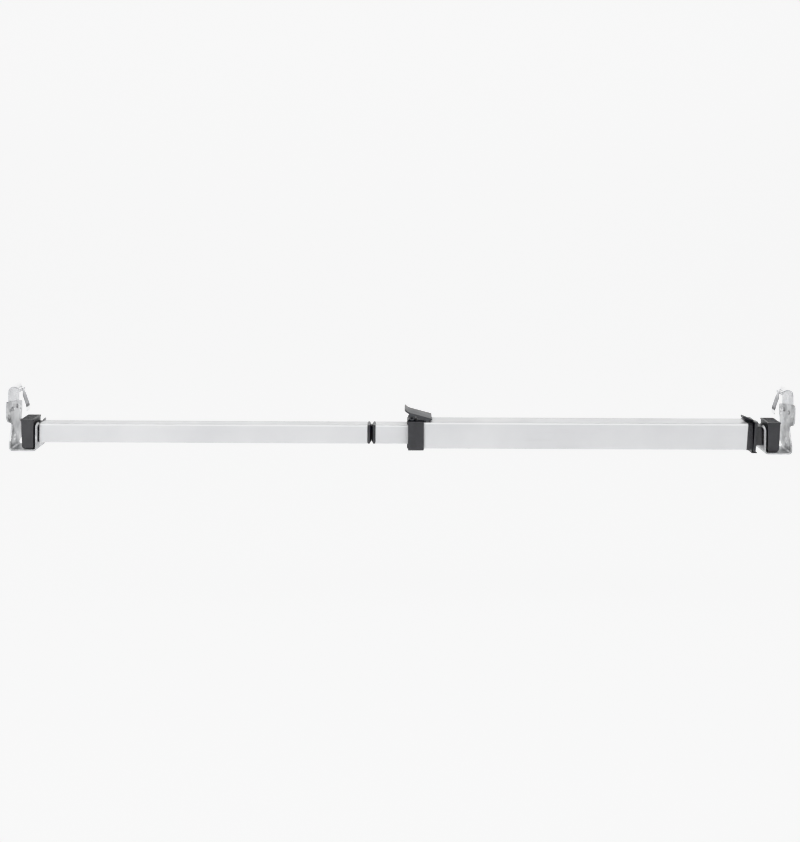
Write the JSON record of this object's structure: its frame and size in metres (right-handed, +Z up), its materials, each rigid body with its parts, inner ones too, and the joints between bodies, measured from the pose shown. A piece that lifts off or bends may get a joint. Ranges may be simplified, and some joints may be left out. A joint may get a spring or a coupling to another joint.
{
  "type": "telescoping window security bar",
  "caption": "Square telescoping bar that braces a window between wall brackets, with a cam clamp, a friction lock and sprung catches.",
  "frame": {"origin": "on the left bracket's wall face, on the bar's axis", "axes": "+X along the bar from the left wall to the right wall, +Y away from the room, +Z up"},
  "size_m": [1.028, 0.057, 0.0846],
  "materials": {
    "bracket_steel": "bright zinc-plated sheet, brushed by handling",
    "spring_steel": "bright spring steel",
    "screw_steel": "zinc-plated, satin",
    "dark_plastic": "moulded, fine grain, satin",
    "lever_plastic": "moulded, fine grain, satin",
    "grey_plastic": "moulded, plain",
    "black_tube": "black powder coat",
    "coated_tube": "light grey powder coat, satin",
    "rubber": "moulded"
  },
  "bodies": {
    "left_bracket": {"left_bracket": "bracket_steel", "left_catch_leaf": "spring_steel", "left_catch_pin": "screw_steel", "left_catch_spring": "spring_steel", "left_catch_rivet_1": "screw_steel", "left_catch_rivet_2": "screw_steel", "left_wall_screw_1": "screw_steel", "left_wall_screw_2": "screw_steel", "left_wall_screw_3": "screw_steel"},
    "left_catch": {"left_catch_tongue": "spring_steel"},
    "inner_bar": {"left_head": "dark_plastic", "left_head_screw": "screw_steel", "extension_tube": "coated_tube", "left_joint_plug": "dark_plastic", "right_joint_plug": "dark_plastic", "joint_stud": "screw_steel", "inner_tube": "coated_tube", "guide_bush": "grey_plastic"},
    "outer_bar": {"outer_tube": "coated_tube", "clamp_collar": "dark_plastic", "collar_screw": "screw_steel", "lever_pin": "black_tube", "end_cap": "dark_plastic", "end_cap_screw": "screw_steel", "lock_spring": "spring_steel"},
    "clamp_lever": {"clamp_lever": "lever_plastic"},
    "brake_shoe": {"brake_shoe": "rubber"},
    "lock_lever": {"lock_lever": "dark_plastic"},
    "end_slide": {"end_slide_tube": "black_tube", "slide_stop_bush": "grey_plastic", "right_head": "dark_plastic", "right_head_screw": "screw_steel"},
    "right_bracket": {"right_bracket": "bracket_steel", "right_catch_leaf": "spring_steel", "right_catch_pin": "screw_steel", "right_catch_spring": "spring_steel", "right_catch_rivet_1": "screw_steel", "right_catch_rivet_2": "screw_steel", "right_wall_screw_1": "screw_steel", "right_wall_screw_2": "screw_steel", "right_wall_screw_3": "screw_steel"},
    "right_catch": {"right_catch_tongue": "spring_steel"}
  },
  "joints": [
    {"name": "left_catch_hinge", "type": "hinge", "parent": "left_bracket", "child": "left_catch", "pos_m": [0.0112, 0, 0.0556], "axis": [0, 1, 0], "range_deg": [0, 15], "stiffness_Nm_per_rad": 0.02, "springref_deg": -34.38},
    {"name": "bar_lift", "type": "slide", "parent": "left_bracket", "child": "inner_bar", "axis": [0, 0, 1], "range_m": [0, 0.0065]},
    {"name": "telescope", "type": "slide", "parent": "inner_bar", "child": "outer_bar", "axis": [1, 0, 0], "range_m": [-0.036, 0.2]},
    {"name": "clamp_lever_hinge", "type": "hinge", "parent": "outer_bar", "child": "clamp_lever", "pos_m": [0.5288, 0, 0.0236], "axis": [0, -1, 0], "range_deg": [0, 75]},
    {"name": "brake_shoe_slide", "type": "slide", "parent": "outer_bar", "child": "brake_shoe", "axis": [0, 0, 1], "range_m": [0, 0.0009], "stiffness_N_per_m": 1, "springref_m": 0.0081},
    {"name": "lock_lever_hinge", "type": "hinge", "parent": "outer_bar", "child": "lock_lever", "pos_m": [0.9782, 0, -0.0198], "axis": [0, -1, 0], "range_deg": [0, 3.8], "stiffness_Nm_per_rad": 0.6, "springref_deg": -4.58},
    {"name": "end_slide", "type": "slide", "parent": "outer_bar", "child": "end_slide", "axis": [1, 0, 0], "range_m": [0, 0.04]},
    {"name": "right_bracket_drop", "type": "slide", "parent": "end_slide", "child": "right_bracket", "axis": [0, 0, -1], "range_m": [0, 0.0065]},
    {"name": "right_catch_hinge", "type": "hinge", "parent": "right_bracket", "child": "right_catch", "pos_m": [1.0168, 0, 0.0556], "axis": [0, -1, 0], "range_deg": [0, 15], "stiffness_Nm_per_rad": 0.02, "springref_deg": -34.38}
  ],
  "couplings": [
    {"joint": "right_bracket_drop", "follows": "bar_lift", "ratio": 1},
    {"joint": "brake_shoe_slide", "follows": "clamp_lever_hinge", "m_per_rad": 0.0006875}
  ]
}
